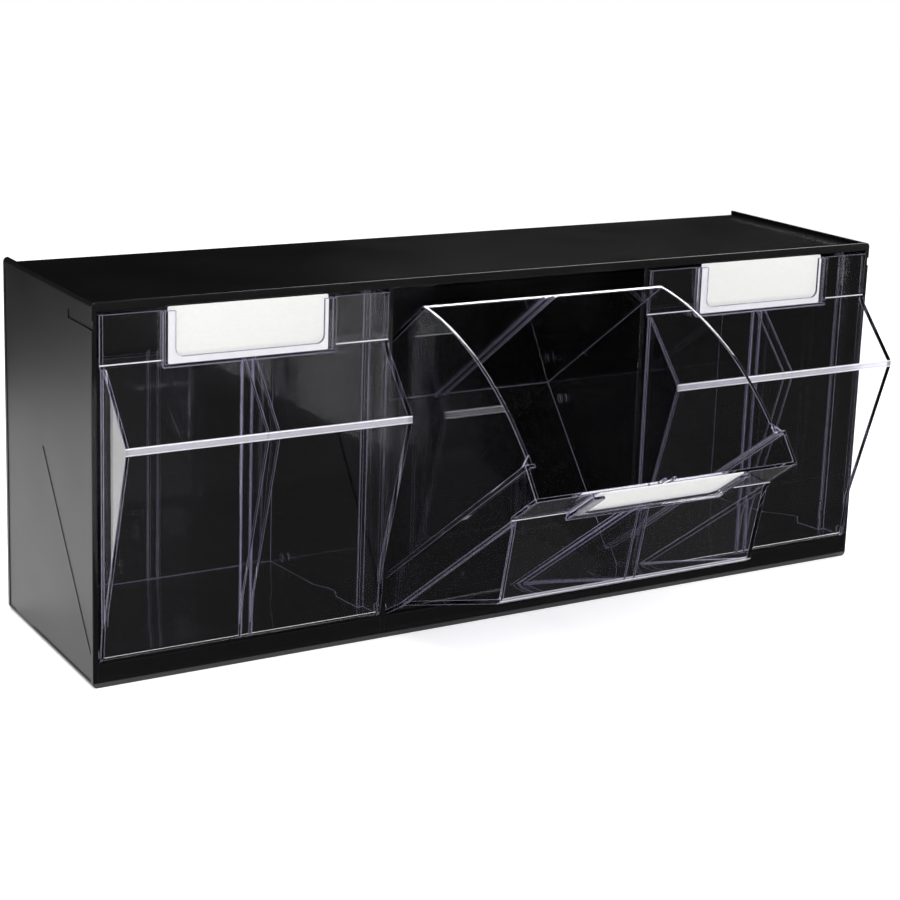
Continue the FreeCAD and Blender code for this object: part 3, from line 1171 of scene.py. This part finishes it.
@dataclass
class BinRow:
    """The three bins and their cards, each copied from one that is built closed."""

    def __post_init__(self) -> None:
        """Take the bins' sizes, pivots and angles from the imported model."""
        self.origin = drawing_origin()
        self.joints = {side: next(joint for joint in frame["joints"]
                                  if joint["name"].startswith(side.value)) for side in Side}
        pivot = Vector(self.joints[Side.LEFT]["pos_m"]) / MM - self.origin
        low, high = (corner - self.origin for corner in box_mm("bin_left"))
        studs = 2 * TiltBin.trunnion_reach
        self.left = low.x + TiltBin.trunnion_reach
        self.form = TiltBin(pivot=(pivot.y, pivot.z), width=high.x - low.x - studs,
                            top=high.z, back=high.y)
        card_low, card_high = (corner - self.origin for corner in box_mm("label_card_left"))
        shift = Vector((self.left, 0, 0))
        self.card = LabelCard(card_low - shift, card_high - shift)

    def opening(self, side: Side) -> float:
        """Degrees by which a bin stands open at rest."""
        return -self.joints[side]["range_deg"][0]

    def place(self, side: Side) -> Matrix:
        """How a closed bin at x = 0 is moved to its compartment and tipped."""
        middle = Vector(self.joints[side]["pos_m"]) / MM - self.origin
        shift = Vector((middle.x - self.form.width / 2, 0, 0))
        pivot = Matrix.Translation(Vector((0, *self.form.pivot)) * MM)
        tipped = pivot @ turned(self.opening(side), "X") @ pivot.inverted()
        return Matrix.Translation((self.origin + shift) * MM) @ tipped

    def build(self) -> list[Object]:
        """Build the bins and cards.

        Returns:
            The finished pieces.
        """
        pieces = []
        parts = ((self.form.build(), "clear_bin", "bin", "bin_clear"),
                 (self.card.build(), "card", "label_card", "card_white"))
        for model, word, node, slot in parts:
            for side in Side:
                piece = duplicated(model, f"{side.value}_{word}")
                settle(piece, self.place(side))
                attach(piece, f"{side.value}_bin")
                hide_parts(f"{node}_{side.value}")
                pieces.append(piece)
            bpy.data.objects.remove(model, do_unlink=True)
        return pieces


# Studio


@dataclass
class PhotoCamera:
    """The camera, where the photograph was taken from: front left and a little above."""

    place: Corner = (-0.7133, -1.1718, 0.4812)
    azimuth: float = 31.06
    downwards: float = 12.84
    roll: float = 1.975
    lens: float = 80.76
    shift_y: float = -0.111
    nearest: float = 0.05

    def build(self) -> None:
        """Add the camera and make it the scene's own."""
        bpy.ops.object.camera_add()
        camera = bpy.context.object
        camera.name = "photo_camera"
        turn = (turned(-self.azimuth, "Z") @ turned(90 - self.downwards, "X")
                @ turned(self.roll, "Z"))
        camera.matrix_world = Matrix.Translation(self.place) @ turn
        camera.data.lens = self.lens
        camera.data.shift_y = self.shift_y
        camera.data.clip_start = self.nearest
        bpy.context.scene.camera = camera


def mirrored_rays(tree: Tree) -> Socket:
    """1 for rays that a surface has mirrored on their way, and 0 for the rest."""
    return add_node(tree, "Math", {"operation": "GREATER_THAN",
                                   0: ray_says(tree, "Glossy Depth"), 1: HALF_A_BOUNCE})


@dataclass(frozen=True)
class BlackCard:
    """A dark card that flat faces mirror, kept out of the picture, the light and the shadows."""

    name: str
    low: Corner
    high: Corner
    level: float

    def finish(self) -> Material:
        """Make it glow at its level for mirrored rays, and clear to all others."""
        material, tree = new_tree(f"studio_{self.name}")
        material.cycles.emission_sampling = "NONE"
        clear = add_node(tree, "BsdfTransparent")
        return surfaced(material, between(tree, mirrored_rays(tree), clear,
                                          glow(tree, self.level)))

    def build(self) -> None:
        """Add the card."""
        card = block(self.name, self.low, self.high)
        dress(card, self.finish())
        card.visible_camera = False
        card.visible_diffuse = False
        card.visible_shadow = False
        card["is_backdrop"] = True


@dataclass(frozen=True)
class Softbox:
    """A lamp behind a diffuser, which gloss mirrors or which is flagged off from it."""

    name: str
    azimuth: float
    elevation: float
    distance: float
    size: tuple[float, float]
    power: float
    mirrored: bool = True

    def place(self, target: Vector) -> Matrix:
        """Where the lamp stands.

        Args:
            target: The place that it faces, in metres.

        Returns:
            Its place and turn, with its face along -Z.
        """
        turn, rise = math.radians(self.azimuth), math.radians(self.elevation)
        away = Vector((math.sin(turn) * math.cos(rise), math.cos(turn) * math.cos(rise),
                       math.sin(rise)))
        facing = away.to_track_quat("Z", "Y").to_matrix().to_4x4()
        return Matrix.Translation(target + away * self.distance) @ facing

    def build(self, target: Vector) -> None:
        """Add the lamp, turned to a target."""
        bpy.ops.object.light_add(type="AREA")
        lamp = bpy.context.object
        lamp.name = self.name
        lamp.matrix_world = self.place(target)
        lamp.data.shape = "RECTANGLE"
        lamp.data.size, lamp.data.size_y = self.size
        lamp.data.energy = self.power
        # Seen through a clear wall, or mirrored twice in a bin, a lamp would show as a haze
        lamp.visible_transmission = False
        lamp.visible_glossy = self.mirrored


@dataclass
class Studio:
    """A pale floor, a white surround, soft lamps and the black cards of a product studio.

    Azimuths are counted from straight behind the object, towards its right.
    """

    floor_radius: float = 4.0
    floor_colour: str = "#e9e9e9"
    floor_glow: float = 0.45
    floor_sides: int = 128
    white_start: float = 0.9
    white_end: float = 1.8
    surround_level: float = 0.35
    ceiling_start: float = 4.0
    ceiling_end: float = 10.0
    ceiling_level: float = 0.06
    lamps: tuple[Softbox, ...] = (
        Softbox("back_softbox", 50.0, 39.0, 1.9, (1.5, 1.0), 34.0),
        Softbox("overhead_softbox", 250.0, 62.0, 1.9, (1.4, 1.0), 22.0, mirrored=False),
        Softbox("front_softbox", 188.0, 34.0, 2.4, (1.2, 0.9), 23.0))
    cards: tuple[BlackCard, ...] = (
        BlackCard("black_card_behind", (-900, 620, 0), (3200, 625, 620), 0.002),
        BlackCard("black_card_in_front", (-330, -1500, 1), (1400, -84, 3), 0.07))

    def floor(self) -> None:
        """Add a round pale floor that glows white where the camera and clear plastic see it."""
        bpy.ops.object.select_all(action="DESELECT")
        bpy.ops.mesh.primitive_circle_add(vertices=self.floor_sides, radius=self.floor_radius,
                                          fill_type="NGON")
        floor = bpy.context.object
        floor.name = "studio_floor"
        dress(floor, self.floor_finish())
        floor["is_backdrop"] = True

    def floor_finish(self) -> Material:
        """Pale paper, lit by the lamps, and white further off for what looks at it."""
        material, tree = new_tree("studio_paper")
        paper = add_node(tree, "BsdfDiffuse", {"Color": linear(self.floor_colour)})
        lifted = add_node(tree, "AddShader", {0: paper, 1: glow(tree, self.floor_glow)})
        away = add_node(tree, "VectorMath", {"operation": "LENGTH", 0: place_on_piece(tree)},
                        "Value")
        share = ranged(tree, away, (self.white_start, self.white_end), (0.0, 1.0))
        faded = between(tree, share, lifted, glow(tree, 1.0))
        return surfaced(material, between(tree, self.looking_rays(tree), paper, faded))

    def looking_rays(self, tree: Tree) -> Socket:
        """1 for rays that look: from the camera, off gloss and through clear plastic."""
        looks = ray_says(tree, "Is Camera Ray")
        for kind in ("Is Glossy Ray", "Is Transmission Ray"):
            looks = add_node(tree, "Math", {"operation": "MAXIMUM", 0: looks,
                                            1: ray_says(tree, kind)})
        return looks

    def surround(self) -> None:
        """White for what looks straight at it, and a dark ceiling over white in mirrored rays."""
        world = bpy.data.worlds.new("studio_surround")
        bpy.context.scene.world = world
        world.use_nodes = True
        tree = world.node_tree
        tree.nodes.clear()
        rise = add_node(tree, "SeparateXYZ", {0: add_node(tree, "TexCoord", output="Generated")},
                        "Z")
        ceiling = tuple(math.sin(math.radians(angle))
                        for angle in (self.ceiling_start, self.ceiling_end))
        room = ranged(tree, rise, ceiling, (1.0, self.ceiling_level))
        white, dark_above, grey = (glow(tree, level, "Background")
                                   for level in (1.0, room, self.surround_level))
        looked_at = between(tree, mirrored_rays(tree), white, dark_above)
        end_tree(tree, "World", between(tree, self.looking_rays(tree), grey, looked_at))

    def build(self) -> None:
        """Set up the floor, the surround, the black cards and the lamps."""
        low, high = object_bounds()
        self.floor()
        self.surround()
        for card in self.cards:
            card.build()
        for lamp in self.lamps:
            lamp.build((low + high) / 2)
        bpy.context.scene.view_settings.view_transform = "Standard"


def main() -> None:
    """Build every piece in order and report it."""
    logging.basicConfig(level=logging.INFO, format="%(name)s: %(message)s")
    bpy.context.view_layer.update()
    for piece in (HousingShell().build(), *BinRow().build()):
        LOG.info("%s: %d faces", piece.name, len(piece.data.polygons))
    Studio().build()
    PhotoCamera().build()
    bpy.context.view_layer.update()


if __name__ == "__main__":
    main()
